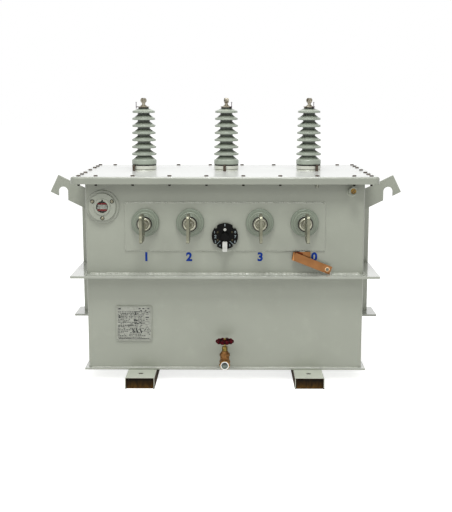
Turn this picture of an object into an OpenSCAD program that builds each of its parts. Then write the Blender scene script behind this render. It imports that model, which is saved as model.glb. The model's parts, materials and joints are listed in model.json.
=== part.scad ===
// Three-phase oil-filled distribution transformer with a smooth tank.
// Millimetres, +Z up, front towards -Y, origin on the ground under the middle of the outline.

/* [Tank] */
// Outside width of the tank
tank_w = 943; // [860:1:1000]
// Outside depth of the tank
tank_d = 502; // [470:2:540]
// Sheet thickness of the tank walls
wall_t = 4; // [3:0.5:5]
// Bend radius of the vertical corners
corner_r = 6.5; // [6:0.5:12]
// Thickness of the floor plate
floor_t = 6; // [4:1:10]
// How far the floor plate stands out round the walls
floor_lip = 12; // [8:1:20]
// Thickness of the bolting flange at the top of the tank
rim_t = 8; // [6:1:12]
// Gap between the flange and the lid's skirt
rim_gap = 2; // [1:0.5:4]

/* [Lid] */
// How far the lid overhangs the side walls
lid_over_x = 43.5; // [40:0.5:60]
// How far the lid overhangs the front and back walls
lid_over_y = 45.5; // [40:0.5:60]
// Height of the lid's top above the ground
lid_top = 709; // [690:1:730]
// Sheet thickness of the lid
lid_t = 5; // [4:0.5:6]
// Height of the turned-down skirt
skirt_h = 25; // [22:1:32]
// Bend radius along the top edge
lid_edge_r = 8; // [6:0.5:10]
// Radius of the corners seen from above
lid_corner_r = 20; // [14:1:30]

/* [Stiffeners and lugs] */
// Width of the flat bars of the belt
belt_w = 50; // [40:1:60]
// Thickness of the flat bars of the belt
belt_t = 8; // [6:1:10]
// Height of the belt's top face
belt_top = 375; // [330:1:378]
// How far the side ribs stand out from the wall
rib_w = 49; // [40:1:50]
// Thickness of the side ribs
rib_t = 10; // [8:1:12]
// How far the lower pads stand out from the wall
pad_w = 76; // [60:1:90]
// Length of the lower pads along the side wall
pad_len = 130; // [100:2:160]
// Thickness of the lower pads
pad_t = 7; // [6:1:10]
// Height of the lower pads' top face
pad_top = 192; // [160:1:230]
// Thickness of the lifting lugs
lug_t = 12; // [10:1:16]
// Width of the lug strip
lug_w = 67; // [60:1:72]
// Slope of the lug strip in degrees
lug_slope = 26; // [20:1:32]
// Reach of the lug's upper outer corner from the tank wall
lug_reach = 133; // [125:0.5:145]
// Height of the lug's upper outer corner
lug_tip_z = 692; // [680:1:700]
// Width of the hook notch
notch_w = 34; // [30:1:36]
// Distance from the wall to the middle of the notch
notch_x = 116; // [112:0.5:120]
// Height of the top of the notch
notch_top = 650; // [640:1:655]

/* [Skids] */
// Width of each skid channel
skid_w = 100; // [80:2:120]
// Height of each skid channel
skid_h = 40; // [35:1:50]
// How far each skid stands out in front of the floor plate and behind it
skid_out = 94; // [70:1:120]
// Sheet thickness of the channels
skid_t = 5; // [4:0.5:6]
// Outside bend radius of the channels
skid_r = 7; // [6.5:0.5:10]
// Distance from the side wall to the middle of each skid
skid_in = 185.5; // [120:0.5:220]
// Diameter of the anchor holes
anchor_d = 18; // [14:1:22]
// Distance from the skid's end to each anchor hole
anchor_in = 50; // [35:1:60]

/* [High-voltage bushings] */
// Spacing of the three high-voltage bushings
hv_pitch = 296; // [260:2:320]
// How far right of the middle the row of bushings stands
hv_shift = 3; // [0:0.5:6]
// Radius of the turrets on the lid
turret_r = 44; // [40:1:50]
// Height of the turrets
turret_h = 18; // [12:1:24]
// Radius of the neck under each turret's flange
turret_neck_r = 36; // [32:1:38]
// Height of the neck
turret_neck_h = 6; // [3:0.5:8]
// Thickness of the bushing gaskets
gasket_t = 4; // [3:0.5:6]
// Radius of the bushing's foot
foot_r = 44.5; // [40:0.5:48]
// Height of the bushing's foot
foot_h = 18; // [14:1:22]
// Number of sheds on each bushing
shed_count = 7; // [5:1:8]
// Spacing of the sheds
shed_pitch = 25; // [20:0.5:28]
// Height of the first shed above the bushing's foot
shed_first = 37; // [30:1:40]
// Radius of the lowest shed
shed_low_r = 44.5; // [42:0.5:48]
// Radius of the highest shed
shed_high_r = 40; // [36:0.5:44]
// Height of the upright rim of a shed
shed_rim_h = 7.6; // [6:0.2:8.8]
// How far inside its rim a shed's top turns into its cone
shoulder_in = 6; // [5:0.5:8]
// Height of the cone above the middle of its shed
cone_h = 16.5; // [14:0.5:18]
// Radius of the porcelain core at the foot
core_low_r = 25; // [23:0.5:27]
// Radius of the porcelain core at the highest shed
core_high_r = 21.5; // [20:0.5:22.5]
// Height of the porcelain's head above the middle of the highest shed
head_h = 12; // [10:0.5:16]
// Radius of the terminal's metal cap
cap_r = 20.5; // [18:0.5:21.5]
// Thickness of the metal cap's rim
cap_h = 3; // [2:0.5:4]
// Radius of the stem under the terminal eye
eye_stem_r = 6; // [5:0.25:6.25]
// Height of the terminal eye's middle above the cap's underside
eye_z = 24; // [20:0.5:26]
// Outside radius of the terminal eye
eye_r = 9; // [8:0.25:10]
// Width of the terminal eye along its hole
eye_w = 13; // [12.5:0.5:15]
// Diameter of the conductor hole in the terminal eye
eye_bore_d = 9; // [6:0.5:10]

/* [Low-voltage bushings] */
// Distance from the side walls to the outer low-voltage bushings
lv_in = 203; // [192:0.5:227]
// Place of the inner low-voltage bushings, as a share of the way to the outer ones
lv_inner_at = 0.4376; // [0.42:0.0001:0.48]
// Height of the low-voltage bushings' axes
lv_z = 552; // [535:1:560]
// Distance from the outer bushings' axes to the end of the plate that carries them
plate_edge = 69.5; // [60:0.5:80]
// Height of that plate
plate_h = 161; // [150:1:180]
// Height of that plate's lower edge
plate_z = 456; // [456:1:465]
// Thickness of that plate
plate_t = 5; // [4:0.5:8]
// Radius of the low-voltage porcelain at the plate
lv_r = 47; // [42:0.5:52]
// Radius of the low-voltage porcelain's nose
lv_nose_r = 28; // [26:0.5:32]
// Radius of the gasket on the nose
lv_gasket_r = 25.5; // [22:0.5:26]
// Length of the low-voltage porcelain
lv_len = 42; // [36:1:50]
// Height of the terminal blades
blade_h = 88; // [80:1:92]
// How far the middle of a blade hangs below its bushing's axis
blade_drop = 2.5; // [0:0.5:5]
// Length of the terminal blades
blade_len = 100; // [90:1:110]
// Thickness of the terminal blades
blade_t = 9; // [6:0.5:10]
// Diameter of the blades' holes
blade_hole_d = 14; // [12:0.5:15]
// Spacing of the blades' holes
blade_hole_pitch = 44.45; // [38:0.05:46]

/* [Tap changer] */
// Height of the tap changer's axis
tap_z = 507; // [505:0.5:510]
// Radius of the dial
tap_r = 44.5; // [42:0.5:46]
// Thickness of the dial
tap_t = 4; // [3:0.5:6]
// Radius of the shaft
tap_shaft_r = 6; // [5:0.5:8]
// Radial clearance of the shaft in the dial
shaft_gap = 0.05; // [0.02:0.01:0.1]
// Radius of the handle's hub
hub_r = 13; // [11:0.5:14]
// Distance from the axis to the tip of the pointer
pointer_len = 51; // [48:1:54]
// Length of the pointer's sleeve
sleeve_len = 35; // [30:1:36]
// Width of the pointer's sleeve
pointer_w = 16; // [14:1:20]

/* [Gauge, filler and plates] */
// Distance from the left wall to the oil gauge
gauge_in = 59; // [55:0.5:66]
// Height of the oil gauge
gauge_z = 605; // [590:1:615]
// Radius of the gauge's boss
gauge_r = 55; // [50:1:58]
// Radius of the gauge's window
window_r = 20; // [16:0.5:24]
// Distance from the right wall to the filler
filler_in = 45.5; // [36:0.5:70]
// Height of the filler
filler_z = 654; // [645:1:660]
// Upward tilt of the filler in degrees
filler_tilt = 9.5; // [0:0.5:12]
// Outside radius of the filler neck
filler_r = 12.5; // [11:0.5:14]
// Length of the filler neck
filler_len = 50; // [45:1:60]
// Size of the square rating plate
label_w = 118; // [100:1:140]
// How far its backing shows round the rating plate
label_border = 3; // [2:0.5:6]
// Distance from the left wall to the rating plate's middle
label_in = 159; // [120:1:200]
// Height of the rating plate's middle
label_z = 201; // [180:1:220]

/* [Drain valve] */
// Height of the drain's axis
drain_z = 79; // [74:0.5:84]
// Outside radius of the drain pipe
pipe_r = 13.5; // [12:0.5:15]
// Radius of the handwheel
wheel_r = 31; // [28:0.5:32]
// Height of the handwheel's middle
wheel_z = 155; // [153:0.5:160]
// Number of lobes on the handwheel's rim
wheel_lobes = 10; // [8:1:12]
// Number of spokes in the handwheel
wheel_spokes = 4; // [3:1:6]
// Radius of the valve's stem
stem_r = 3.5; // [3:0.25:4]

/* [Earth strap] */
// Width of the copper strap
strap_w = 28; // [22:1:28]
// Thickness of the copper strap
strap_t = 2; // [1.5:0.5:3]
// Length of the strap's hanging leaf
strap_len = 134; // [120:1:136]
// Length of the strap's bolted leaf
strap_back = 56; // [50:1:70]
// Slope of the hanging leaf in degrees
strap_slope = 21.5; // [15:0.5:22]
// Diameter of the hole at the strap's end
strap_hole_d = 12; // [9:0.5:14]
// Distance from the strap's end to that hole
strap_hole_in = 13; // [10:0.5:16]
// Distance from the outer low-voltage bushing's axis to the strap's fold
strap_in = 34.5; // [28:0.5:48]
// Height of the strap's middle line at the fold above the belt
strap_rise = 63.5; // [63:0.5:65]
// Distance from the strap's fold to the earth stud
stud_x = 28; // [20:1:40]
// Height of the earth stud above the strap's middle line
stud_rise = 4; // [2:0.5:4]
// Radius of the earth stud's boss
boss_r = 13; // [10:0.5:13]
// Height of the earth stud's boss
boss_h = 8; // [6:0.5:12]

/* [Hidden] */
$fn = 64;
front = -tank_d / 2;
floor_z = skid_h;
wall_z = skid_h + floor_t;
wall_x = tank_w / 2;
lid_w = tank_w + 2 * lid_over_x;
lid_d = tank_d + 2 * lid_over_y;
skid_len = tank_d + 2 * (floor_lip + skid_out);
skid_x = wall_x - skid_in;
anchor_y = skid_len / 2 - anchor_in;
gauge_x = wall_x - gauge_in;
filler_x = wall_x - filler_in;
label_x = wall_x - label_in;
lv_outer_x = wall_x - lv_in;
lv_inner_x = lv_outer_x * lv_inner_at;
plate_w = 2 * (lv_outer_x + plate_edge);
strap_x = lv_outer_x - strap_in;
strap_z = belt_top + strap_rise;
rim_top = lid_top - lid_t;
plate_front = front - plate_t;
lv_xs = [-lv_outer_x, -lv_inner_x, lv_inner_x, lv_outer_x];
hv_xs = [hv_shift - hv_pitch, hv_shift, hv_shift + hv_pitch];
eye_turn = [60, 20, 40];
rod_turn = [180, -45, -58];
clamp_turn = [-133, -97, -58];
turret_top = lid_top + turret_h;
foot_z = turret_top + gasket_t;
shed_last = shed_first + (shed_count - 1) * shed_pitch;
hv_len = shed_last + head_h;
cap_gasket_z = foot_z + hv_len;
cap_z = cap_gasket_z + gasket_t;
lv_gasket_t = 5;
lv_nut_r = 12.5;
lv_stud_r = 11;
lv_washer_t = 5;
lv_nut_t = 14;
lv_stud = 14;
lv_nut_y = lv_len + lv_gasket_t + lv_washer_t;
blade_y = lv_nut_y + lv_nut_t + lv_stud;
tap_boss_t = 8;
tap_air = 5.5;
tap_base = tap_boss_t + tap_t + tap_air;
hub_h = 14;
arm_w = 8;
arm_t = 6;
arm_rise = 3;
arm_short = 6;
gauge_boss_t = 6;
bezel_t = 9;
gauge_dial_t = 4;
loose = 0.2;
backing_t = 5;
fold_r = 6;
fold_lap = 0.5;
label_r = 3;
drain_end = 40;
valve_len = 52;
valve_y = front - drain_end - valve_len / 2;
hex_len = 12;
packing_r = 9.5;
hex_r = 18.5;
chest_h = 25;
seat_h = 9;
cone_len = 9;
packing_h = 15;
chest_top = drain_z + chest_h;
seat_top = chest_top + seat_h;
cone_top = seat_top + cone_len;
nut_top = cone_top + packing_h;
reach = -front + plate_t + blade_y + blade_len;
frame_y = (reach - skid_len / 2) / 2;

paint = [0.62, 0.65, 0.59];
porcelain = [0.52, 0.57, 0.52];
rubber = [0.06, 0.06, 0.06];
tinned = [0.62, 0.61, 0.55];
brass = [0.72, 0.56, 0.26];
bronze = [0.50, 0.33, 0.17];
copper = [0.72, 0.42, 0.27];

// Rectangle with round corners, centred on the axis
module round_rect(w, d, r) {
  square([w - 2 * r, d], center = true);
  square([w, d - 2 * r], center = true);
  for (x = [-1, 1], y = [-1, 1]) translate([x * (w / 2 - r), y * (d / 2 - r)]) circle(r);
}

// Puts a shape drawn along +Z on the front wall, pointing out of it
module on_front(x, z, y = front) {
  translate([x, y, z]) rotate([90, 0, 0]) children();
}

// Brings the middle of the outline over the origin
module framed() {
  translate([0, frame_y, 0]) children();
}

// Mirrors what is drawn for the right side where the left one is wanted
module at_side(right) {
  if (right) children(); else mirror([1, 0, 0]) children();
}

module tank_wall() {
  color(paint) translate([0, 0, wall_z]) linear_extrude(rim_top - rim_t - wall_z) difference() {
    round_rect(tank_w, tank_d, corner_r);
    round_rect(tank_w - 2 * wall_t, tank_d - 2 * wall_t, corner_r - wall_t);
  }
}

module tank_floor() {
  color(paint) translate([0, 0, floor_z]) linear_extrude(floor_t)
    square([tank_w + 2 * floor_lip, tank_d + 2 * floor_lip], center = true);
}

module tank_rim() {
  edge = lid_t + rim_gap;
  color(paint) translate([0, 0, rim_top - rim_t]) linear_extrude(rim_t) difference() {
    round_rect(lid_w - 2 * edge, lid_d - 2 * edge, lid_corner_r - lid_t);
    round_rect(tank_w - 2 * wall_t, tank_d - 2 * wall_t, corner_r - wall_t);
  }
}

// Block with round vertical corners and a rounded top edge
module pan_block(w, d, h, corner, edge) {
  linear_extrude(h - edge) round_rect(w, d, corner);
  linear_extrude(h) round_rect(w - 2 * edge, d - 2 * edge, corner - edge);
  translate([0, 0, h - edge]) {
    for (y = [-1, 1]) translate([-(w / 2 - corner), y * (d / 2 - edge), 0])
      rotate([0, 90, 0]) cylinder(r = edge, h = w - 2 * corner);
    for (x = [-1, 1]) translate([x * (w / 2 - edge), d / 2 - corner, 0])
      rotate([90, 0, 0]) cylinder(r = edge, h = d - 2 * corner);
    for (x = [-1, 1], y = [-1, 1]) translate([x * (w / 2 - corner), y * (d / 2 - corner), 0])
      rotate_extrude() translate([corner - edge, 0]) intersection() {
        circle(edge);
        translate([0, -edge]) square([edge, 2 * edge]);
      }
  }
}

module lid() {
  color(paint) translate([0, 0, lid_top - skirt_h]) difference() {
    pan_block(lid_w, lid_d, skirt_h, lid_corner_r, lid_edge_r);
    translate([0, 0, -1]) linear_extrude(skirt_h - lid_t + 1)
      round_rect(lid_w - 2 * lid_t, lid_d - 2 * lid_t, lid_corner_r - lid_t);
  }
}

module belt_long_bar(y) {
  color(paint) translate([-wall_x, y, belt_top - belt_t]) cube([tank_w, belt_w, belt_t]);
}
module belt_front() { belt_long_bar(front - belt_w); }
module belt_back() { belt_long_bar(-front); }

module belt_side_bar(right) {
  at_side(right) color(paint) translate([wall_x, front - belt_w, belt_top - belt_t])
    cube([belt_w, tank_d + 2 * belt_w, belt_t]);
}
module belt_left() { belt_side_bar(false); }
module belt_right() { belt_side_bar(true); }

// Height of the lug strip's lower edge at a distance x from the wall
function lug_under(x) = lug_tip_z - lug_w / cos(lug_slope) - (lug_reach - x) * tan(lug_slope);

module rib(right) {
  at_side(right) color(paint) translate([wall_x, rib_t / 2, 0]) rotate([90, 0, 0]) linear_extrude(rib_t) {
    polygon([[0, belt_top], [rib_w, belt_top], [rib_w, lug_under(rib_w)], [0, lug_under(0)]]);
    translate([0, pad_top]) square([rib_w, belt_top - belt_t - pad_top]);
  }
}
module rib_left() { rib(false); }
module rib_right() { rib(true); }

module pad(right) {
  at_side(right) color(paint) translate([wall_x, -pad_len / 2, pad_top - pad_t])
    cube([pad_w, pad_len, pad_t]);
}
module pad_left() { pad(false); }
module pad_right() { pad(true); }

// Inclined plate strip with a hook notch that is open below
module lug(right) {
  outer = [lug_reach + lug_w * sin(lug_slope), lug_tip_z - lug_w * cos(lug_slope)];
  at_side(right) color(paint) translate([wall_x, lug_t / 2, 0]) rotate([90, 0, 0]) linear_extrude(lug_t)
    difference() {
      polygon([
        [0, lug_under(0)], outer, [lug_reach, lug_tip_z],
        [0, lug_tip_z - lug_reach * tan(lug_slope)]
      ]);
      translate([notch_x, notch_top - notch_w / 2]) circle(notch_w / 2);
      translate([notch_x - notch_w / 2, 0]) square([notch_w, notch_top - notch_w / 2]);
    }
}
module lug_left() { lug(false); }
module lug_right() { lug(true); }

// Channel profile, open below, with its bends rounded inside and out
module channel_profile(w, h, t, r) {
  difference() {
    translate([0, h / 2 - r / 2]) round_rect(w, h + r, r);
    translate([0, h / 2 - r / 2 - t]) round_rect(w - 2 * t, h + r, r - t);
    translate([-w, -2 * h]) square([2 * w, 2 * h]);
  }
}

module skid(right) {
  at_side(right) color(paint) translate([skid_x, 0, 0]) difference() {
    translate([0, skid_len / 2, 0]) rotate([90, 0, 0]) linear_extrude(skid_len)
      channel_profile(skid_w, skid_h, skid_t, skid_r);
    for (y = [-anchor_y, anchor_y]) translate([0, y, 0]) cylinder(d = anchor_d, h = skid_h + 1);
  }
}
module skid_left() { skid(false); }
module skid_right() { skid(true); }

module hv_turrets() {
  color(paint) for (x = hv_xs) translate([x, 0, lid_top]) rotate_extrude() polygon([
    [0, 0], [turret_neck_r, 0], [turret_neck_r, turret_neck_h], [turret_r, turret_neck_h],
    [turret_r, turret_h], [0, turret_h]
  ]);
}

module hv_gaskets() {
  color(rubber) for (x = hv_xs) translate([x, 0, 0]) {
    translate([0, 0, turret_top]) cylinder(r = turret_r - 1, h = gasket_t);
    translate([0, 0, cap_gasket_z]) cylinder(r = cap_r - 2, h = gasket_t);
  }
}

// One shed: a drip lip below, an upright rim with round edges, a sloped top and the cone above it
module shed_profile(r, top_r, top_h) {
  half = shed_rim_h / 2;
  edge = 1.8;
  lip = 6;
  drip = 2;
  shoulder_rise = 1.5;
  translate([r - 2 * edge, edge - half]) square([2 * edge, shed_rim_h - 2 * edge]);
  for (z = [-1, 1]) translate([r - edge, z * (half - edge)]) circle(edge);
  polygon([
    [0, drip - half], [r - 2 * lip, drip - half], [r - lip, -half],
    [r - edge, -half], [r - edge, half], [r - shoulder_in, half + shoulder_rise],
    [top_r, top_h], [0, top_h]
  ]);
}

// Turned porcelain: a straight foot, a tapered core, sheds that narrow towards the top, and a domed head
module hv_bushing(x) {
  edge = 4;
  head_r = cap_r - 2;
  flare = 12;
  step = (shed_high_r - shed_low_r) / (shed_count - 1);
  color(porcelain) translate([x, 0, foot_z]) rotate_extrude() {
    translate([0, edge]) square([foot_r, foot_h - 2 * edge]);
    square([foot_r - edge, foot_h]);
    for (z = [edge, foot_h - edge]) translate([foot_r - edge, z]) circle(edge);
    polygon([[0, foot_h], [foot_r - edge, foot_h], [core_low_r + 1, foot_h + flare], [0, foot_h + flare]]);
    polygon([[0, 0], [core_low_r, 0], [core_high_r, shed_last], [0, shed_last]]);
    for (i = [0 : shed_count - 2]) translate([0, shed_first + i * shed_pitch])
      shed_profile(shed_low_r + i * step, core_high_r - 1, cone_h);
    translate([0, shed_last]) shed_profile(shed_high_r, head_r, head_h);
  }
}
module hv_bushing_left() { hv_bushing(hv_xs[0]); }
module hv_bushing_middle() { hv_bushing(hv_xs[1]); }
module hv_bushing_right() { hv_bushing(hv_xs[2]); }

// Flat cap, stem and eye in one casting, with a saw cut along the top of the eye
module hv_terminal(i) {
  boss_h = 4;
  cut_w = 4;
  cut_h = 3.5;
  color(tinned) translate([hv_xs[i], 0, cap_z]) rotate([0, 0, eye_turn[i]]) difference() {
    union() {
      cylinder(r = cap_r, h = cap_h);
      rotate_extrude() polygon([
        [0, cap_h], [cap_r - 6, cap_h], [eye_stem_r + 2, cap_h + boss_h],
        [eye_stem_r, cap_h + boss_h], [eye_stem_r, eye_z], [0, eye_z]
      ]);
      translate([0, 0, eye_z]) rotate([0, 90, 0]) cylinder(r = eye_r, h = eye_w, center = true);
    }
    translate([0, 0, eye_z]) rotate([0, 90, 0]) cylinder(d = eye_bore_d, h = 4 * eye_r, center = true);
    translate([-eye_w, -cut_w / 2, eye_z + eye_r - cut_h]) cube([2 * eye_w, cut_w, 2 * cut_h]);
  }
}
module hv_terminal_left() { hv_terminal(0); }
module hv_terminal_middle() { hv_terminal(1); }
module hv_terminal_right() { hv_terminal(2); }

module hv_clamp_studs() {
  stud_r = 5;
  stud_gap = 1;
  stud_h = turret_h + 4;
  color("sienna") for (i = [0 : 2], side = [0, 180]) translate([hv_xs[i], 0, lid_top])
    rotate([0, 0, clamp_turn[i] + side]) translate([max(foot_r, turret_r) + stud_gap + stud_r, 0, 0])
      cylinder(r = stud_r, h = stud_h);
}

// Thin upright rods on short arms that are screwed to the caps' rims
module arcing_rods() {
  rod_r = 1.3;
  rod_out = 6;
  arm_w = 5;
  drop = 5;
  rod_h = 23;
  color(tinned) for (i = [0 : 2]) translate([hv_xs[i], 0, cap_z]) rotate([0, 0, rod_turn[i]]) {
    translate([cap_r, -arm_w / 2, 0]) cube([rod_out, arm_w, cap_h]);
    translate([cap_r + rod_out, 0, -drop]) cylinder(r = rod_r, h = rod_h);
    translate([cap_r + rod_out, 0, rod_h - drop - 1]) cylinder(r = 2 * rod_r, h = 1.5);
  }
}

module bushing_plate() {
  color(paint) translate([-plate_w / 2, plate_front, plate_z]) cube([plate_w, plate_t, plate_h]);
}

// Stepped porcelain with rounded edges
module lv_bushing(i) {
  steps = [1, 0.53, 0.21, 0];
  ends = [lv_len / 3, lv_len * 0.55, lv_len * 0.8, lv_len];
  edge = 3;
  color(porcelain) on_front(lv_xs[i], lv_z, plate_front) rotate_extrude() for (k = [0 : 3]) {
    r = lv_nose_r + steps[k] * (lv_r - lv_nose_r);
    square([r - edge, ends[k]]);
    square([r, ends[k] - edge]);
    translate([r - edge, ends[k] - edge]) circle(edge);
  }
}
module lv_bushing_1() { lv_bushing(0); }
module lv_bushing_2() { lv_bushing(1); }
module lv_bushing_3() { lv_bushing(2); }
module lv_bushing_4() { lv_bushing(3); }

module lv_gaskets() {
  color(rubber) for (x = lv_xs) on_front(x, lv_z, plate_front) translate([0, 0, lv_len])
    cylinder(r = lv_gasket_r, h = lv_gasket_t);
}

module lv_nuts() {
  washer_in = 3.5;
  color(tinned) for (x = lv_xs) on_front(x, lv_z, plate_front) {
    translate([0, 0, lv_len + lv_gasket_t]) cylinder(r = lv_gasket_r - washer_in, h = lv_washer_t);
    translate([0, 0, lv_nut_y]) cylinder(r = lv_nut_r, h = lv_nut_t);
  }
}

// Upright terminal blade with four holes and cut shoulders, forged on the end of its stud
module lv_blade(i) {
  blade_corner = 10;
  shoulder = 26;
  root = 8;
  hole_out = 8;
  hole_mid = blade_y + blade_len / 2 + hole_out;
  color(tinned) on_front(lv_xs[i], lv_z, plate_front) difference() {
    union() {
      translate([0, 0, lv_nut_y + lv_nut_t]) cylinder(r = lv_stud_r, h = lv_stud + root);
      translate([-blade_t / 2, -blade_drop, blade_y + blade_len / 2]) rotate([0, 90, 0])
        linear_extrude(blade_t) difference() {
          round_rect(blade_len, blade_h, blade_corner);
          for (y = [-1, 1]) translate([blade_len / 2, y * blade_h / 2]) rotate(45)
            square(shoulder, center = true);
        }
    }
    for (a = [-1, 1], b = [-1, 1])
      translate([0, a * blade_hole_pitch / 2 - blade_drop, hole_mid + b * blade_hole_pitch / 2])
        rotate([0, 90, 0]) cylinder(d = blade_hole_d, h = 4 * blade_t, center = true);
  }
}
module lv_blade_1() { lv_blade(0); }
module lv_blade_2() { lv_blade(1); }
module lv_blade_3() { lv_blade(2); }
module lv_blade_4() { lv_blade(3); }

// Notched dial on a boss, with the bore that the hub's shaft turns in
module tap_dial() {
  boss_r = 24;
  notch_r = 5.5;
  color([0.08, 0.08, 0.08]) on_front(0, tap_z, plate_front) difference() {
    union() {
      cylinder(r = boss_r, h = tap_boss_t);
      translate([0, 0, tap_boss_t]) cylinder(r = tap_r, h = tap_t);
    }
    cylinder(r = tap_shaft_r + shaft_gap, h = 3 * tap_boss_t);
    for (a = [45 : 90 : 315]) rotate([0, 0, a]) translate([tap_r, 0, 0])
      cylinder(r = notch_r, h = 3 * tap_boss_t);
  }
}

// Shaft, round hub and the flat arm that carries the pointer's sleeve
module tap_hub() {
  color([0.08, 0.08, 0.08]) on_front(0, tap_z, plate_front) {
    translate([0, 0, 1]) cylinder(r = tap_shaft_r, h = tap_base);
    translate([0, 0, tap_base]) cylinder(r = hub_r, h = hub_h);
    translate([-arm_w / 2, -pointer_len + arm_short, tap_base + arm_rise])
      cube([arm_w, pointer_len - arm_short, arm_t]);
  }
}

// Pointer sleeve pushed over the arm, with a rounded tip and a blind pocket
module tap_handle() {
  sleeve_t = 12;
  tip_r = 4;
  color("white") on_front(0, tap_z, plate_front) difference() {
    translate([0, sleeve_len / 2 - pointer_len, tap_base]) linear_extrude(sleeve_t)
      round_rect(pointer_w, sleeve_len, tip_r);
    translate([-arm_w / 2 - loose, -pointer_len + arm_short - loose, tap_base + arm_rise - loose])
      cube([arm_w + 2 * loose, pointer_len, arm_t + 2 * loose]);
  }
}

module gauge_boss() {
  color(paint) on_front(-gauge_x, gauge_z) cylinder(r = gauge_r, h = gauge_boss_t);
}

// Screwed ring with a raised collar round the window
module gauge_bezel() {
  ring_in = 8.5;
  collar = 7.5;
  collar_h = 4;
  edge = 2;
  color(paint) on_front(-gauge_x, gauge_z, front - gauge_boss_t) difference() {
    rotate_extrude() {
      square([gauge_r - ring_in - edge, bezel_t]);
      square([gauge_r - ring_in, bezel_t - edge]);
      translate([gauge_r - ring_in - edge, bezel_t - edge]) circle(edge);
      square([window_r + collar - edge, bezel_t + collar_h]);
      square([window_r + collar, bezel_t + collar_h - edge]);
      translate([window_r + collar - edge, bezel_t + collar_h - edge]) circle(edge);
    }
    translate([0, 0, -1]) cylinder(r = window_r, h = bezel_t + collar_h + 2);
  }
}

module gauge_dial() {
  color("white") on_front(-gauge_x, gauge_z, front - gauge_boss_t)
    cylinder(r = window_r - loose, h = gauge_dial_t);
}

module gauge_glass() {
  glass_t = 4;
  air = 4;
  color([0.8, 0.85, 0.85]) on_front(-gauge_x, gauge_z, front - gauge_boss_t)
    translate([0, 0, gauge_dial_t + air]) cylinder(r = window_r - loose, h = glass_t);
}

// Short pipe stub, cut flush with the wall and tilted upwards
module filler_neck() {
  bury = 10;
  color(paint) difference() {
    on_front(filler_x, filler_z) rotate([-filler_tilt, 0, 0]) translate([0, 0, -bury])
      cylinder(r = filler_r, h = filler_len + bury);
    translate([filler_x - 2 * filler_r, front, filler_z - 3 * filler_r])
      cube([4 * filler_r, 4 * filler_r, 6 * filler_r]);
  }
}

// Pipe plug with a square head
module filler_plug() {
  flange_h = 3;
  head_h = 8;
  color(brass) on_front(filler_x, filler_z) rotate([-filler_tilt, 0, 0]) translate([0, 0, filler_len]) {
    cylinder(r = filler_r - 3.5, h = flange_h);
    translate([0, 0, flange_h]) cylinder(r = filler_r - 4.5, h = head_h, $fn = 4);
  }
}

module rating_backing() {
  w = label_w + 2 * label_border;
  color(paint) on_front(-label_x, label_z) linear_extrude(backing_t)
    round_rect(w, w, label_r + label_border);
}

module rating_plate() {
  label_t = 1.5;
  color("silver") on_front(-label_x, label_z, front - backing_t) linear_extrude(label_t)
    round_rect(label_w, label_w, label_r);
}

module drain_pipe() {
  color(paint) on_front(0, drain_z) cylinder(r = pipe_r, h = drain_end);
}

// Straight-through body with hexagon ends, an upright chest, a bonnet seat and a cone
module valve_body() {
  run_r = 15.5;
  seat_r = 17.5;
  color(bronze) difference() {
    union() {
      on_front(0, drain_z, front - drain_end) {
        cylinder(r = hex_r, h = hex_len, $fn = 6);
        cylinder(r = run_r, h = valve_len);
        translate([0, 0, valve_len - hex_len]) cylinder(r = hex_r, h = hex_len, $fn = 6);
      }
      translate([0, valve_y, drain_z]) {
        cylinder(r = run_r, h = chest_top - drain_z);
        translate([0, 0, chest_top - drain_z]) cylinder(r = seat_r, h = seat_top - chest_top, $fn = 8);
        translate([0, 0, seat_top - drain_z]) cylinder(r1 = run_r, r2 = packing_r, h = cone_top - seat_top);
      }
    }
    translate([0, valve_y, chest_top]) cylinder(r = stem_r + shaft_gap, h = nut_top - chest_top);
  }
}

// Packing nut round the stem
module valve_bonnet() {
  color(brass) translate([0, valve_y, cone_top]) difference() {
    cylinder(r = packing_r, h = nut_top - cone_top, $fn = 6);
    cylinder(r = stem_r + shaft_gap, h = nut_top - cone_top);
  }
}

// Lobed rim, dished spokes, hub and stem
module handwheel() {
  rim_r = 5;
  lobe_r = 6.8;
  hub_r = 7;
  hub_h = 12;
  spoke_w = 6;
  spoke_t = 4;
  stem_foot = chest_top + 1;
  color([0.42, 0.03, 0.05]) translate([0, valve_y, 0]) {
    translate([0, 0, stem_foot]) cylinder(r = stem_r, h = wheel_z - stem_foot);
    translate([0, 0, wheel_z - hub_h / 2]) cylinder(r = hub_r, h = hub_h);
    translate([0, 0, wheel_z]) rotate_extrude() translate([wheel_r - rim_r - 2, 0]) circle(rim_r);
    for (i = [1 : wheel_spokes]) rotate([0, 0, i * 360 / wheel_spokes])
      translate([0, -spoke_w / 2, wheel_z - spoke_t / 2]) cube([wheel_r - rim_r - 2, spoke_w, spoke_t]);
    for (i = [1 : wheel_lobes]) rotate([0, 0, i * 360 / wheel_lobes])
      translate([wheel_r - lobe_r, 0, wheel_z]) sphere(lobe_r);
  }
}

// Galvanised plug with a hexagon socket
module drain_plug() {
  plug_r = 13.5;
  plug_h = 9;
  socket_r = 10.5;
  socket_h = 6;
  color("silver") on_front(0, drain_z, front - drain_end - valve_len) difference() {
    cylinder(r = plug_r, h = plug_h);
    translate([0, 0, plug_h - socket_h]) cylinder(r = socket_r, h = plug_h, $fn = 6);
  }
}

module earth_boss() {
  color("silver") on_front(strap_x + stud_x, strap_z + stud_rise) cylinder(r = boss_r, h = boss_h);
}

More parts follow.
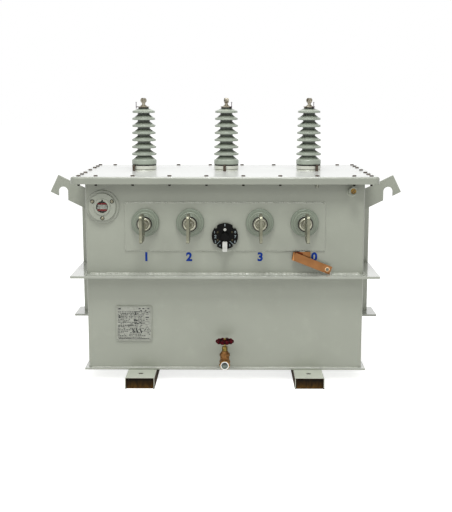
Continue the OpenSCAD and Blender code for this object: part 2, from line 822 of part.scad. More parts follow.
// Copper strip folded back on itself, with a hole in its free end
module earth_strap() {
  color(copper) translate([strap_x, front - boss_h, strap_z]) {
    translate([0, -strap_t, -strap_w / 2]) cube([strap_back, strap_t, strap_w]);
    rotate([0, strap_slope / 2, 0]) translate([0, -fold_r, -strap_w / 2]) intersection() {
      difference() {
        cylinder(r = fold_r, h = strap_w);
        translate([0, 0, -1]) cylinder(r = fold_r - strap_t, h = strap_w + 2);
      }
      translate([-2 * fold_r, -2 * fold_r, 0]) cube([2 * fold_r + fold_lap, 4 * fold_r, strap_w]);
    }
    translate([0, -2 * fold_r, 0]) rotate([0, strap_slope, 0]) difference() {
      translate([0, 0, -strap_w / 2]) cube([strap_len, strap_t, strap_w]);
      translate([strap_len - strap_hole_in, -1, 0]) rotate([-90, 0, 0])
        cylinder(d = strap_hole_d, h = 3 * strap_t);
    }
  }
}

framed() tank_wall();
framed() tank_floor();
framed() tank_rim();
framed() lid();
framed() belt_front();
framed() belt_back();
framed() belt_left();
framed() belt_right();
framed() rib_left();
framed() rib_right();
framed() pad_left();
framed() pad_right();
framed() lug_left();
framed() lug_right();
framed() skid_left();
framed() skid_right();
framed() hv_turrets();
framed() hv_gaskets();
framed() hv_bushing_left();
framed() hv_bushing_middle();
framed() hv_bushing_right();
framed() hv_terminal_left();
framed() hv_terminal_middle();
framed() hv_terminal_right();
framed() hv_clamp_studs();
framed() arcing_rods();
framed() bushing_plate();
framed() lv_bushing_1();
framed() lv_bushing_2();
framed() lv_bushing_3();
framed() lv_bushing_4();
framed() lv_gaskets();
framed() lv_nuts();
framed() lv_blade_1();
framed() lv_blade_2();
framed() lv_blade_3();
framed() lv_blade_4();
framed() tap_dial();
framed() tap_hub();
framed() tap_handle();
framed() gauge_boss();
framed() gauge_bezel();
framed() gauge_dial();
framed() gauge_glass();
framed() filler_neck();
framed() filler_plug();
framed() rating_backing();
framed() rating_plate();
framed() drain_pipe();
framed() valve_body();
framed() valve_bonnet();
framed() handwheel();
framed() drain_plug();
framed() earth_boss();
framed() earth_strap();
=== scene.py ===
import json
import math
import random

import bmesh
import bpy
from mathutils import Matrix, Vector


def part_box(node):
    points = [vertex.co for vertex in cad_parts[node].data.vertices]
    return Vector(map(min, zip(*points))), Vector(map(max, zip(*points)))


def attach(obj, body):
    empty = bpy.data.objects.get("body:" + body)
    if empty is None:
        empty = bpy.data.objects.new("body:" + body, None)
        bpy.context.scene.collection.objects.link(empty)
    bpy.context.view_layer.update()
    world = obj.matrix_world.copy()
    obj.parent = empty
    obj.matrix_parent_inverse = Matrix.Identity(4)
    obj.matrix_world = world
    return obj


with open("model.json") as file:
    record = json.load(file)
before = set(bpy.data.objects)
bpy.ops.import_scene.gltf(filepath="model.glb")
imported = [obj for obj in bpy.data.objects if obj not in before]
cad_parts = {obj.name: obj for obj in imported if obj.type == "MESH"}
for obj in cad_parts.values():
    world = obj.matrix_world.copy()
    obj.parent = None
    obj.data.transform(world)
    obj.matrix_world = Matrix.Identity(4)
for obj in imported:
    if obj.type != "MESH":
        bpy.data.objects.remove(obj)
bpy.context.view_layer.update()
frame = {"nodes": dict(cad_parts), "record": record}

# Camera: it stands a little right of the middle, level with the tips of the bushings, and looks slightly
# down. Its place and its lens come from the lid's bolts and the edges of the tank in the photograph.
look_down, look_left = 0.1629, 0.0079
scene = bpy.context.scene
lens = bpy.data.cameras.new("photo_camera")
lens.sensor_fit = "VERTICAL"
lens.sensor_height = 36.0
lens.lens = 67.74
camera = bpy.data.objects.new("photo_camera", lens)
camera.location = (0.0292, -3.4441, 0.9678)
camera.rotation_euler = (math.pi / 2 - look_down, 0, look_left)
scene.collection.objects.link(camera)
scene.camera = camera

# Studio: a wide pale floor in a white surround, two large soft lamps overhead and two in front.
# The surround and the floor look white to the eye and to gloss, and the floor keeps the shadow.
fill_level = 0.4
floor_reach = 30.0
floor_lift = (0.75, 0.75, 0.75, 1)
scene.view_settings.view_transform = "Standard"


def maths(tree, kind, first, second=0.0):
    """One sum on two values, each of them a socket or a number."""
    node = tree.nodes.new("ShaderNodeMath")
    node.operation = kind
    for socket, value in zip(node.inputs, (first, second)):
        if isinstance(value, float):
            socket.default_value = value
        else:
            tree.links.new(value, socket)
    return node.outputs[0]


def seen_rays(tree):
    """One where the ray comes from the camera, a reflection or glass, and zero elsewhere."""
    rays = tree.nodes.new("ShaderNodeLightPath").outputs
    seen = maths(tree, "MAXIMUM", rays["Is Camera Ray"], rays["Is Glossy Ray"])
    return maths(tree, "MAXIMUM", seen, rays["Is Transmission Ray"])


surround = bpy.data.worlds.new("surround")
surround.use_nodes = True
scene.world = surround
sky = surround.node_tree
fill = sky.nodes["Background"]
fill.inputs["Color"].default_value = (1.0, 0.995, 0.98, 1)
fill.inputs["Strength"].default_value = fill_level
white = sky.nodes.new("ShaderNodeBackground")
white.inputs["Color"].default_value = (1, 1, 1, 1)
white.inputs["Strength"].default_value = 1.0
which = sky.nodes.new("ShaderNodeMixShader")
sky.links.new(seen_rays(sky), which.inputs[0])
sky.links.new(fill.outputs[0], which.inputs[1])
sky.links.new(white.outputs[0], which.inputs[2])
sky.links.new(which.outputs[0], sky.nodes["World Output"].inputs["Surface"])

floor_mesh = bpy.data.meshes.new("studio_floor")
floor_bm = bmesh.new()
bmesh.ops.create_grid(floor_bm, x_segments=1, y_segments=1, size=floor_reach)
floor_bm.to_mesh(floor_mesh)
floor_bm.free()
studio_floor = bpy.data.objects.new("studio_floor", floor_mesh)
scene.collection.objects.link(studio_floor)
floor_paint = bpy.data.materials.new("studio_floor")
floor_paint.use_nodes = True
floor_tree = floor_paint.node_tree
matt = floor_tree.nodes.new("ShaderNodeBsdfDiffuse")
matt.inputs["Color"].default_value = (0.86, 0.86, 0.85, 1)
lift = floor_tree.nodes.new("ShaderNodeEmission")
lift.inputs["Color"].default_value = floor_lift
floor_tree.links.new(seen_rays(floor_tree), lift.inputs["Strength"])
both = floor_tree.nodes.new("ShaderNodeAddShader")
floor_tree.links.new(matt.outputs[0], both.inputs[0])
floor_tree.links.new(lift.outputs[0], both.inputs[1])
floor_tree.links.new(both.outputs[0], floor_tree.nodes["Material Output"].inputs["Surface"])
floor_mesh.materials.append(floor_paint)

for lamp_name, spot, aim, width, power in (
    ("overhead_lamp", (0.0, -1.8, 3.6), (0, 0, 0.4), 1.1, 74.0),
    ("top_lamp", (0.0, 0.4, 3.7), (0, 0.1, 0.4), 1.6, 46.0),
    ("left_lamp", (-2.0, -3.5, 3.0), (0, 0, 0.35), 1.5, 27.0),
    ("right_lamp", (2.0, -3.5, 3.0), (0, 0, 0.35), 1.5, 16.0),
):
    lamp = bpy.data.lights.new(lamp_name, "AREA")
    lamp.size = width
    lamp.energy = power
    lamp_object = bpy.data.objects.new(lamp_name, lamp)
    lamp_object.location = spot
    lamp_object.rotation_euler = (Vector(aim) - Vector(spot)).to_track_quat("-Z", "Y").to_euler()
    scene.collection.objects.link(lamp_object)

# Tank: bent sheet steel with a floor plate, a bolting flange and a pan-shaped lid, sprayed with
# glossy grey-green enamel. The coat has a faint orange peel, and the level faces are painted pale on top,
# painted light.
mm = 0.001
nodes = frame["nodes"]
wall_lo, wall_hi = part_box("tank_wall")
front, back, side = wall_lo.y, wall_hi.y, wall_hi.x
middle = (front + back) / 2
lid_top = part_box("lid")[1].z
skin_depth = 0.6 * mm


def screen(red, green, blue):
    """A colour as it shows on screen, 0 to 255, in the linear values that a shader takes."""
    parts = [c / 255 for c in (red, green, blue)]
    return tuple(c / 12.92 if c < 0.04 else ((c + 0.055) / 1.055) ** 2.4 for c in parts) + (1,)


def grey(level):
    """A plain value for a colour band."""
    return (level, level, level, 1)


def new_finish(name):
    """A node material, its tree, its main shader and the coordinates of the piece that wears it."""
    finish = bpy.data.materials.new(name)
    finish.use_nodes = True
    tree = finish.node_tree
    where = tree.nodes.new("ShaderNodeTexCoord").outputs["Object"]
    return finish, tree, tree.nodes["Principled BSDF"], where


def reopened(finish):
    """The tree, the shader, the coordinates and the colour of a finish that is to be marked further."""
    tree = finish.node_tree
    shader = tree.nodes["Principled BSDF"]
    where = tree.nodes["Texture Coordinate"].outputs["Object"]
    return tree, shader, where, shader.inputs["Base Color"].links[0].from_socket


def axes(tree, where):
    """The X, Y and Z of a place, each as a value of its own."""
    split = tree.nodes.new("ShaderNodeSeparateXYZ")
    tree.links.new(where, split.inputs[0])
    return split.outputs


def cloud(tree, where, scale, detail=3.0, stretch=(1, 1, 1)):
    """Noise with that many patches to the metre, drawn out where stretch is small."""
    place = tree.nodes.new("ShaderNodeMapping")
    place.inputs["Scale"].default_value = stretch
    tree.links.new(where, place.inputs["Vector"])
    noise = tree.nodes.new("ShaderNodeTexNoise")
    noise.inputs["Scale"].default_value = scale
    noise.inputs["Detail"].default_value = detail
    tree.links.new(place.outputs["Vector"], noise.inputs["Vector"])
    return noise.outputs["Fac"]


def tones(tree, value, *stops):
    """Colours or greys along a value: each stop is a place from 0 to 1 and a colour."""
    band = tree.nodes.new("ShaderNodeValToRGB")
    ramp = band.color_ramp
    ramp.elements.remove(ramp.elements[1])
    ramp.elements[0].position = stops[0][0]
    ramp.elements[0].color = stops[0][1]
    for at, colour in stops[1:]:
        ramp.elements.new(at).color = colour
    tree.links.new(value, band.inputs["Fac"])
    return band.outputs["Color"]


def patches(tree, where, scale, low, high, detail=3.0, ends=(0.3, 0.7)):
    """Two colours or greys in soft patches, with that many to the metre."""
    return tones(tree, cloud(tree, where, scale, detail), (ends[0], low), (ends[1], high))


def over(tree, amount, under, upper):
    """One colour laid over another by an amount."""
    mix = tree.nodes.new("ShaderNodeMix")
    mix.data_type = "RGBA"
    tree.links.new(amount, mix.inputs["Factor"])
    for socket, colour in ((mix.inputs[6], under), (mix.inputs[7], upper)):
        if isinstance(colour, tuple):
            socket.default_value = colour
        else:
            tree.links.new(colour, socket)
    return mix.outputs[2]


def relief(tree, shader, height, depth, strength, edge=0.0):
    """Fine height on the surface, and edges rounded off to the eye by a small radius."""
    bump = tree.nodes.new("ShaderNodeBump")
    bump.inputs["Strength"].default_value = strength
    bump.inputs["Distance"].default_value = depth
    tree.links.new(height, bump.inputs["Height"])
    if edge:
        rounding = tree.nodes.new("ShaderNodeBevel")
        rounding.samples = 4
        rounding.inputs["Radius"].default_value = edge
        tree.links.new(rounding.outputs["Normal"], bump.inputs["Normal"])
    tree.links.new(bump.outputs["Normal"], shader.inputs["Normal"])


def dress(finish, *names):
    """Gives CAD nodes a finish."""
    for name in names:
        for holder in nodes[name].material_slots:
            holder.material = finish


def enamel(name, low, high, patch=5.0, gloss=0.5, flat=0.3, polish=0.34):
    """Sprayed enamel between two close colours, with uneven gloss and an orange peel."""
    finish, tree, shader, where = new_finish(name)
    coat = patches(tree, where, patch, low, high)
    haze = patches(tree, where, 26.0, grey(0), grey(0.18), 6.0, (0.55, 0.85))
    tree.links.new(over(tree, haze, coat, screen(176, 178, 165)), shader.inputs["Base Color"])
    dull = patches(tree, where, 9.0, grey(flat), grey(flat + 0.06), 5.0, (0.35, 0.75))
    tree.links.new(dull, shader.inputs["Roughness"])
    shader.inputs["Coat Weight"].default_value = gloss
    shader.inputs["Coat Roughness"].default_value = polish
    relief(tree, shader, cloud(tree, where, 210.0, 2.0), 0.6 * mm, 0.12, 1.2 * mm)
    return finish


def paint_tops_light(finish, levels, low, high):
    """Paints a finish pale on the level faces at the given heights, painted light where light from above
    strikes them.
    """
    tree, shader, where, coat = reopened(finish)
    height = axes(tree, where)["Z"]
    pale = patches(tree, where, 5.0, low, high)
    for level in levels:
        gap = maths(tree, "ABSOLUTE", maths(tree, "SUBTRACT", height, level))
        coat = over(tree, maths(tree, "LESS_THAN", gap, skin_depth), coat, pale)
    tree.links.new(coat, shader.inputs["Base Color"])


wall_tones = screen(145, 149, 136), screen(151, 155, 142)
paint = enamel("enamel", *wall_tones)
dress(
    paint, "tank_wall", "tank_rim", "lug_left", "lug_right", "bushing_plate",
    "gauge_boss", "gauge_bezel", "rating_backing",
)
# The ribs wear a lighter copy of the wall enamel, painted light on faces that the lamps leave in shade.
lightened_rib_paint = enamel("enamel_on_ribs", screen(160, 164, 151), screen(167, 171, 158))
dress(lightened_rib_paint, "rib_left", "rib_right")
wet_paint = enamel("enamel_on_plates", *wall_tones, gloss=1.0, flat=0.14, polish=0.06)
# The tops of the floor plate, belt and pads are painted pale, painted light where light from above strikes
# them.
ledges = [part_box(name)[1].z for name in ("tank_floor", "belt_front", "pad_left")]
paint_tops_light(wet_paint, ledges, screen(182, 185, 177), screen(192, 195, 187))
dress(
    wet_paint, "tank_floor", "belt_front", "belt_back", "belt_left", "belt_right", "pad_left", "pad_right",
)
lid_paint = enamel(
    "enamel_on_lid", screen(139, 143, 131), screen(145, 149, 137), gloss=0.6, flat=0.35, polish=0.16,
)
# The lid's top is painted pale, painted light that stands in for the bright sky it reflects.
paint_tops_light(lid_paint, [lid_top], screen(190, 192, 189), screen(200, 202, 199))
dress(lid_paint, "lid")

# Weld beads: rippled fillets that hold the belt, ribs, lugs, pads, plates and bosses on the tank,
# laid by hand with uneven swells. Most wear an enamel lighter than the wall's, painted light that stands in
# for the glints on their crests.
dice = random.Random(31)
ripple = 6 * mm
bent_corner = 12 * mm
mitre_end = 0.985
rib_reach = 46 * mm
lug_weld_top = 0.625
sharp_angle = math.radians(40)
# This enamel is painted light: a lighter tone than the wall's that stands in for glints on the beads.
lightened_weld_paint = enamel(
    "enamel_on_weld", screen(168, 172, 160), screen(186, 189, 178), patch=120.0, gloss=0.35, flat=0.34,
)


def centre(name):
    """The middle of a CAD node's box."""
    low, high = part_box(name)
    return (low + high) / 2


def along(place, axis, turn=0.0):
    """The matrix that stands a shape drawn along +Z at a place, pointing along an axis."""
    tilt = Vector((0, 0, 1)).rotation_difference(Vector(axis).normalized()).to_matrix().to_4x4()
    return Matrix.Translation(place) @ tilt @ Matrix.Rotation(turn, 4, "Z")


def add(bm, shape, matrix):
    """Puts a copy of a shape into a piece's mesh."""
    held = bpy.data.meshes.new("held")
    shape.to_mesh(held)
    held.transform(matrix)
    bm.from_mesh(held)
    bpy.data.meshes.remove(held)


def finish_piece(name, bm, finish, body="transformer"):
    """Turns a mesh into a named piece that rides on a body."""
    mesh = bpy.data.meshes.new(name)
    bm.to_mesh(mesh)
    bm.free()
    mesh.materials.append(finish)
    mesh.shade_smooth()
    mesh.set_sharp_from_angle(angle=sharp_angle)
    piece = bpy.data.objects.new(name, mesh)
    scene.collection.objects.link(piece)
    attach(piece, body)


def spun(shape, steps):
    """Spins a drawn outline once round +Z and closes its seam."""
    bmesh.ops.spin(
        shape, geom=shape.verts[:] + shape.edges[:], cent=(0, 0, 0), axis=(0, 0, 1), angle=math.tau,
        steps=steps, use_merge=True,
    )
    bmesh.ops.remove_doubles(shape, verts=shape.verts[:], dist=1e-6)
    bmesh.ops.recalc_face_normals(shape, faces=shape.faces[:])


def bead(bm, start, end, size):
    """A straight weld bead from one point to another."""
    start, end = Vector(start), Vector(end)
    length = (end - start).length
    shape = bmesh.new()
    bmesh.ops.create_cone(shape, cap_ends=True, segments=8, radius1=size, radius2=size, depth=length)
    runs = [e for e in shape.edges if abs(e.verts[0].co.z - e.verts[1].co.z) > length / 2]
    cuts = max(3, round(length / (ripple / 3)))
    bmesh.ops.subdivide_edges(shape, edges=runs, cuts=cuts, use_grid_fill=True)
    phase, drift = dice.uniform(0, 6), dice.uniform(0, 6)
    for v in shape.verts:
        wave = 0.16 * math.sin(v.co.z / ripple * math.tau + phase)
        wave += 0.05 * math.sin(v.co.z / (ripple * 7.3) * math.tau + drift) + dice.uniform(-0.13, 0.13)
        v.co.x *= 1 + wave
        v.co.y *= 1 + wave
    add(bm, shape, along((start + end) / 2, end - start))


def bead_round(bm, height, size):
    """Beads along the four walls at one height, which stop short of the bent corners."""
    for y in (front, back):
        bead(bm, (-side + bent_corner, y, height), (side - bent_corner, y, height), size)
    for x in (-side, side):
        bead(bm, (x, front + bent_corner, height), (x, back - bent_corner, height), size)


def ring_bead(bm, place, axis, radius, size):
    """A weld bead round a boss."""
    shape = bmesh.new()
    upright = Matrix.Rotation(math.pi / 2, 4, "X")
    made = bmesh.ops.create_circle(shape, segments=8, radius=size, matrix=upright)
    bmesh.ops.translate(shape, verts=made["verts"], vec=(radius, 0, 0))
    spun(shape, max(24, round(math.tau * radius / (ripple / 2))))
    for v in shape.verts:
        swell = 1 + 0.06 * math.sin(math.atan2(v.co.y, v.co.x) * radius / ripple * math.tau)
        v.co.z *= swell + dice.uniform(-0.06, 0.06)
    add(bm, shape, along(place, axis))


belt_lo, belt_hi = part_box("belt_front")
ring_lo, ring_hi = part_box("belt_left")
belt_welds = bmesh.new()
bead_round(belt_welds, belt_hi.z, 4.4 * mm)
bead_round(belt_welds, belt_lo.z, 2.5 * mm)
for x in (-side, side):
    for y, edge in ((front, ring_lo.y), (back, ring_hi.y)):
        bead(belt_welds, (x, y, belt_hi.z), (x, edge * mitre_end, belt_hi.z), 1.8 * mm)
finish_piece("belt_welds", belt_welds, lightened_weld_paint)

plate_lo, plate_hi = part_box("bushing_plate")
plate_welds = bmesh.new()
bead_round(plate_welds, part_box("tank_floor")[1].z, 2 * mm)
for z, size in ((plate_hi.z, 4.4 * mm), (plate_lo.z, 3.4 * mm)):
    bead(plate_welds, (plate_lo.x, front, z), (plate_hi.x, front, z), size)
for x in (plate_lo.x, plate_hi.x):
    bead(plate_welds, (x, front, plate_lo.z), (x, front, plate_hi.z), 1.8 * mm)
finish_piece("plate_welds", plate_welds, lightened_weld_paint)

gauge, drain, boss = centre("gauge_boss"), centre("drain_pipe"), centre("earth_boss")
gauge_lo, gauge_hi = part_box("gauge_boss")
gauge_weld_r = (gauge_hi.x - gauge_lo.x) / 2 - 1 * mm
tank_welds = bmesh.new()
for spot, radius, size in (
    (gauge, gauge_weld_r, 2.5 * mm), (drain, 14 * mm, 3.5 * mm), (boss, 13 * mm, 2.5 * mm),
):
    ring_bead(tank_welds, (spot.x, front, spot.z), (0, -1, 0), radius, size)
finish_piece("tank_welds", tank_welds, lightened_weld_paint)

side_welds = bmesh.new()
for hand, out in (("left", -1), ("right", 1)):
    rib_lo, rib_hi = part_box("rib_" + hand)
    lug_lo, lug_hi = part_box("lug_" + hand)
    pad_lo, pad_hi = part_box("pad_" + hand)
    wall_x = out * side
    tip_x = wall_x + out * rib_reach
    for y in (rib_lo.y, rib_hi.y):
        bead(side_welds, (wall_x, y, pad_hi.z), (wall_x, y, belt_lo.z), 2.2 * mm)
        bead(side_welds, (wall_x, y, belt_hi.z), (wall_x, y, lug_lo.z), 2.2 * mm)
        bead(side_welds, (wall_x, y, belt_hi.z), (tip_x, y, belt_hi.z), 2 * mm)
        bead(side_welds, (wall_x, y, pad_hi.z), (tip_x, y, pad_hi.z), 2 * mm)
    for y in (lug_lo.y, lug_hi.y):
        bead(side_welds, (wall_x, y, lug_lo.z + 5 * mm), (wall_x, y, lug_weld_top), 2.5 * mm)
    bead(side_welds, (wall_x, pad_lo.y, pad_hi.z), (wall_x, pad_hi.y, pad_hi.z), 2.5 * mm)
finish_piece("side_welds", side_welds, paint)

# Lid bolts: thirty zinc-plated hexagon bolts through lid and flange, browned with age, each with a
# washer and a nut below the flange. One on the front has a longer, cleaner end.
flange_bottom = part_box("tank_rim")[0].z
bolt_pitch, bolt_x, bolt_y = 123.3 * mm, 488.9 * mm, 270.4 * mm
side_bolts = [y * mm for y in (-193, -115, 0, 115, 193)]


def chamfered(shape, edges, offset):
    """Takes the sharpness off some edges of a shape."""
    bmesh.ops.bevel(
        shape, geom=edges, offset=offset, offset_type="OFFSET", segments=2, profile=0.5, affect="EDGES",
        material=-1,
    )


def hexagon(across, height, chamfer):
    """A hexagon nut or head, in millimetres, that stands on the origin with its top edge taken off."""
    shape = bmesh.new()
    corner = across * mm / 2 / math.cos(math.pi / 6)
    bmesh.ops.create_cone(
        shape, cap_ends=True, segments=6, radius1=corner, radius2=corner, depth=height * mm,
        matrix=Matrix.Translation((0, 0, height * mm / 2)),
    )
    top = [e for e in shape.edges if min(v.co.z for v in e.verts) > height * mm * 0.9]
    chamfered(shape, top, chamfer * mm)
    return shape


def turned(steps, *profile):
    """A round shape spun about +Z from pairs of radius and height in millimetres."""
    shape = bmesh.new()
    points = [shape.verts.new((r * mm, 0, z * mm)) for r, z in profile]
    for a, b in zip(points, points[1:]):
        shape.edges.new((a, b))
    spun(shape, steps)
    return shape


def metal(name, dark, light, rough, patch, spots=None, grain=0.3, edge=0.0, metallic=1.0):
    """Metal, or a dull paint where metallic is zero: two tones in patches, with optional stains."""
    finish, tree, shader, where = new_finish(name)
    colour = patches(tree, where, patch, dark, light, 4.0, (0.32, 0.68))
    if spots:
        stain = patches(tree, where, patch * 0.7, grey(0), grey(1), 6.0, (0.5, 0.66))
        colour = over(tree, stain, colour, spots)
    tree.links.new(colour, shader.inputs["Base Color"])
    shader.inputs["Metallic"].default_value = metallic
    worn = patches(tree, where, patch * 1.6, grey(rough * 0.75), grey(rough * 1.3), 5.0)
    tree.links.new(worn, shader.inputs["Roughness"])
    relief(tree, shader, cloud(tree, where, 900.0, 2.0), 0.3 * mm, grain, edge)
    return finish


brown_zinc = metal("browned_zinc", screen(52, 43, 36), screen(92, 79, 67), 0.5, 240.0, screen(48, 32, 24))
black_steel = metal("blackened_steel", screen(30, 28, 26), screen(54, 50, 46), 0.5, 240.0, screen(24, 20, 16))
dull_zinc = metal("dull_zinc", screen(118, 120, 108), screen(150, 152, 140), 0.42, 160.0)
washer_height = 0.8
washer = turned(20, (4, 0), (7.4, 0), (7.4, washer_height), (4, 1.2))
head = hexagon(12.5, 3.6, 0.9)
nut = hexagon(12.5, 8, 1.2)
tail = turned(14, (0, 0), (4.5, 0), (4.5, 18), (3.6, 19), (0, 19))
places = [((i - 3.5) * bolt_pitch, s * bolt_y) for i in range(8) for s in (-1, 1)]
places += [(s * bolt_x, y) for s in (-1, 1) for y in (-bolt_y, *side_bolts, bolt_y)]
lid_bolts = bmesh.new()
bolt_tails = bmesh.new()
for x, y in places:
    turn = dice.uniform(0, 1)
    below = Vector((x, middle + y, flange_bottom))
    add(lid_bolts, head, along((x, middle + y, lid_top), (0, 0, 1), turn))
    add(bolt_tails, washer, along(below, (0, 0, -1)))
    add(bolt_tails, nut, along(below - Vector((0, 0, washer_height * mm)), (0, 0, -1), turn))
    add(bolt_tails, tail, along(below, (0, 0, -1)))
finish_piece("lid_bolts", lid_bolts, brown_zinc)
finish_piece("lid_bolt_tails", bolt_tails, black_steel)
long_bolt = bmesh.new()
shank = turned(16, (0, 0), (5, 0), (5, 25), (4, 26), (0, 26))
add(long_bolt, shank, along((2.5 * bolt_pitch, middle - bolt_y, flange_bottom), (0, 0, -1)))
finish_piece("lid_long_bolt", long_bolt, dull_zinc)

# Skids: two pressed steel channels, open below, painted outside and dark brown inside and on their
# inner sides, rust and painted shade together. A short block of dark timber packs each end just behind the
# cut edge, a dark piece that stands in for the shade inside the channel.
skid_lo, skid_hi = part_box("skid_right")
half_wall = 2.8 * mm
scuff_height = 4 * mm
block_size, block_edge = (89, 24, 34), 1.5
block_inset, block_middle = 14 * mm, 17.6 * mm


def rust_and_shade_enamel():
    """Pale enamel, with rust and painted shade inside the channel and on its inner side, and rust in scuffs
    along the ground.
    """
    finish, tree, shader, where = new_finish("enamel_over_rust")
    coat = patches(tree, where, 7.0, screen(188, 192, 179), screen(196, 200, 187))
    rust_and_shade_tone = patches(tree, where, 60.0, screen(26, 16, 8), screen(66, 44, 22), 6.0)
    place = axes(tree, where)
    across, height = maths(tree, "ABSOLUTE", place["X"]), place["Z"]
    scuffs = patches(tree, where, 80.0, grey(0), grey(1), 5.0, (0.42, 0.6))
    rust_and_shade_mask = maths(tree, "MULTIPLY", maths(tree, "LESS_THAN", height, scuff_height), scuffs)
    rust_and_shade_mask = maths(tree, "MAXIMUM", rust_and_shade_mask, maths(tree, "LESS_THAN", across, skid_lo.x + skin_depth))
    inside = maths(tree, "GREATER_THAN", across, skid_lo.x + half_wall)
    inside = maths(tree, "MULTIPLY", inside, maths(tree, "LESS_THAN", across, skid_hi.x - half_wall))
    inside = maths(tree, "MULTIPLY", inside, maths(tree, "LESS_THAN", height, skid_hi.z - half_wall))
    rust_and_shade_mask = maths(tree, "MAXIMUM", rust_and_shade_mask, inside)
    tree.links.new(over(tree, rust_and_shade_mask, coat, rust_and_shade_tone), shader.inputs["Base Color"])
    sheen = patches(tree, where, 12.0, grey(0.3), grey(0.42))
    tree.links.new(over(tree, rust_and_shade_mask, sheen, grey(0.95)), shader.inputs["Roughness"])
    shader.inputs["Specular IOR Level"].default_value = 0.25
    relief(tree, shader, cloud(tree, where, 210.0, 2.0), 0.6 * mm, 0.15, 1.6 * mm)
    return finish


def shaded_timber():
    """Rough timber, streaked along the skid, and painted darker towards the top as painted shade under the
    channel's web.
    """
    finish, tree, shader, where = new_finish("shaded_timber")
    rise = maths(tree, "DIVIDE", axes(tree, where)["Z"], skid_hi.z)
    pale = tones(tree, rise, (0.05, screen(96, 68, 26)), (0.4, screen(60, 42, 16)), (0.8, screen(18, 12, 5)))
    dark = tones(tree, rise, (0.05, screen(62, 42, 14)), (0.4, screen(34, 23, 8)), (0.8, screen(8, 5, 2)))
    grain = cloud(tree, where, 130.0, 4.0, (1.0, 0.1, 0.35))
    streaks = tones(tree, grain, (0.35, grey(0)), (0.65, grey(1)))
    tree.links.new(over(tree, streaks, dark, pale), shader.inputs["Base Color"])
    shader.inputs["Roughness"].default_value = 0.85
    shader.inputs["Specular IOR Level"].default_value = 0.15
    relief(tree, shader, grain, 2 * mm, 0.5)
    return finish


def slab(width, depth, height, chamfer=0.0):
    """A block in millimetres, centred on the origin, with its edges taken off if a chamfer is given."""
    shape = bmesh.new()
    bmesh.ops.create_cube(shape, size=1.0)
    bmesh.ops.scale(shape, vec=(width * mm, depth * mm, height * mm), verts=shape.verts[:])
    if chamfer:
        chamfered(shape, shape.edges[:], chamfer * mm)
    return shape


dress(rust_and_shade_enamel(), "skid_left", "skid_right")
# The timber blocks are dark pieces that stand in for the shade inside each channel's end.
packing = bmesh.new()
for hand in ("left", "right"):
    channel_lo, channel_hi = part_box("skid_" + hand)
    for y in (channel_lo.y + block_inset, channel_hi.y - block_inset):
        spot = ((channel_lo.x + channel_hi.x) / 2, y, block_middle)
        add(packing, slab(*block_size, block_edge), Matrix.Translation(spot))
finish_piece("skid_packing", packing, shaded_timber())

# High-voltage bushings: turned porcelain with a grey-green glaze, one on each turret of the lid.
# The glaze is painted dark in the deep necks and pale on the rims, painted shade under the sheds, and black
# rings seal both ends.
hv_names = ("left", "middle", "right")
hv_x = [centre("hv_bushing_" + name).x for name in hv_names]
hv_neck_r, hv_rim_r = 22 * mm, 42 * mm
hv_shaded_tones = screen(73, 79, 70), screen(147, 154, 141), screen(153, 161, 148)


def from_axis(tree, where, spot, flat):
    """The distance from a line through a spot, where flat is zero along the line and one across it."""
    centred = tree.nodes.new("ShaderNodeMapping")
    centred.inputs["Location"].default_value = [-s * f for s, f in zip(spot, flat)]
    centred.inputs["Scale"].default_value = flat
    tree.links.new(where, centred.inputs["Vector"])
    radius = tree.nodes.new("ShaderNodeVectorMath")
    radius.operation = "LENGTH"
    tree.links.new(centred.outputs["Vector"], radius.inputs[0])
    return radius.outputs["Value"]


def glaze(name, axis_line, inner, outer, deep, mid, rim, rough):
    """Fired glaze whose tone follows the distance from the porcelain's own axis, as painted shade."""
    finish, tree, shader, where = new_finish(name)
    share = tree.nodes.new("ShaderNodeMapRange")
    share.inputs["From Min"].default_value = inner
    share.inputs["From Max"].default_value = outer
    tree.links.new(from_axis(tree, where, *axis_line), share.inputs["Value"])
    colour = tones(tree, share.outputs["Result"], (0.0, deep), (0.5, mid), (1.0, rim))
    speck = patches(tree, where, 420.0, grey(0), grey(0.07), 2.0, (0.66, 0.8))
    tree.links.new(over(tree, speck, colour, screen(96, 98, 86)), shader.inputs["Base Color"])
    tree.links.new(patches(tree, where, 45.0, grey(rough), grey(rough + 0.1)), shader.inputs["Roughness"])
    shader.inputs["IOR"].default_value = 1.52
    relief(tree, shader, cloud(tree, where, 160.0, 2.0), 0.5 * mm, 0.05)
    return finish


def moulding(name, dark, light, patch, detail, shine=0.5):
    """Rubber, plastic or paint in two close tones, with its tree, shader and coordinates."""
    finish, tree, shader, where = new_finish(name)
    tree.links.new(patches(tree, where, patch, dark, light, detail), shader.inputs["Base Color"])
    shader.inputs["Specular IOR Level"].default_value = shine
    return finish, tree, shader, where


for name, x in zip(hv_names, hv_x):
    upright_axis = (x, middle, 0), (1, 1, 0)
    hv_glaze = glaze("hv_glaze_" + name, upright_axis, hv_neck_r, hv_rim_r, *hv_shaded_tones, 0.2)
    dress(hv_glaze, "hv_bushing_" + name)
rubber, tree, shader, where = moulding(
    "gasket_rubber", screen(14, 13, 12), screen(28, 25, 22), 90.0, 3.0, 0.25,
)
shader.inputs["Roughness"].default_value = 0.6
relief(tree, shader, cloud(tree, where, 500.0), 0.4 * mm, 0.2)
dress(rubber, "hv_gaskets", "lv_gaskets")
# The turrets wear a pale cream copy of the enamel, painted light for the strong top light on them.
cream = enamel("cream_enamel", screen(190, 192, 180), screen(202, 204, 192))
dress(cream, "hv_turrets")
# Their wide weld beads are pale cream too, a painted reflection of the turrets in the lid.
turret_welds = bmesh.new()
for x in hv_x:
    ring_bead(turret_welds, (x, middle, lid_top), (0, 0, 1), 37.5 * mm, 6.4 * mm)
painted_reflection_weld = enamel("cream_on_weld", screen(182, 185, 172), screen(196, 199, 186), 60.0)
finish_piece("turret_welds", turret_welds, painted_reflection_weld)

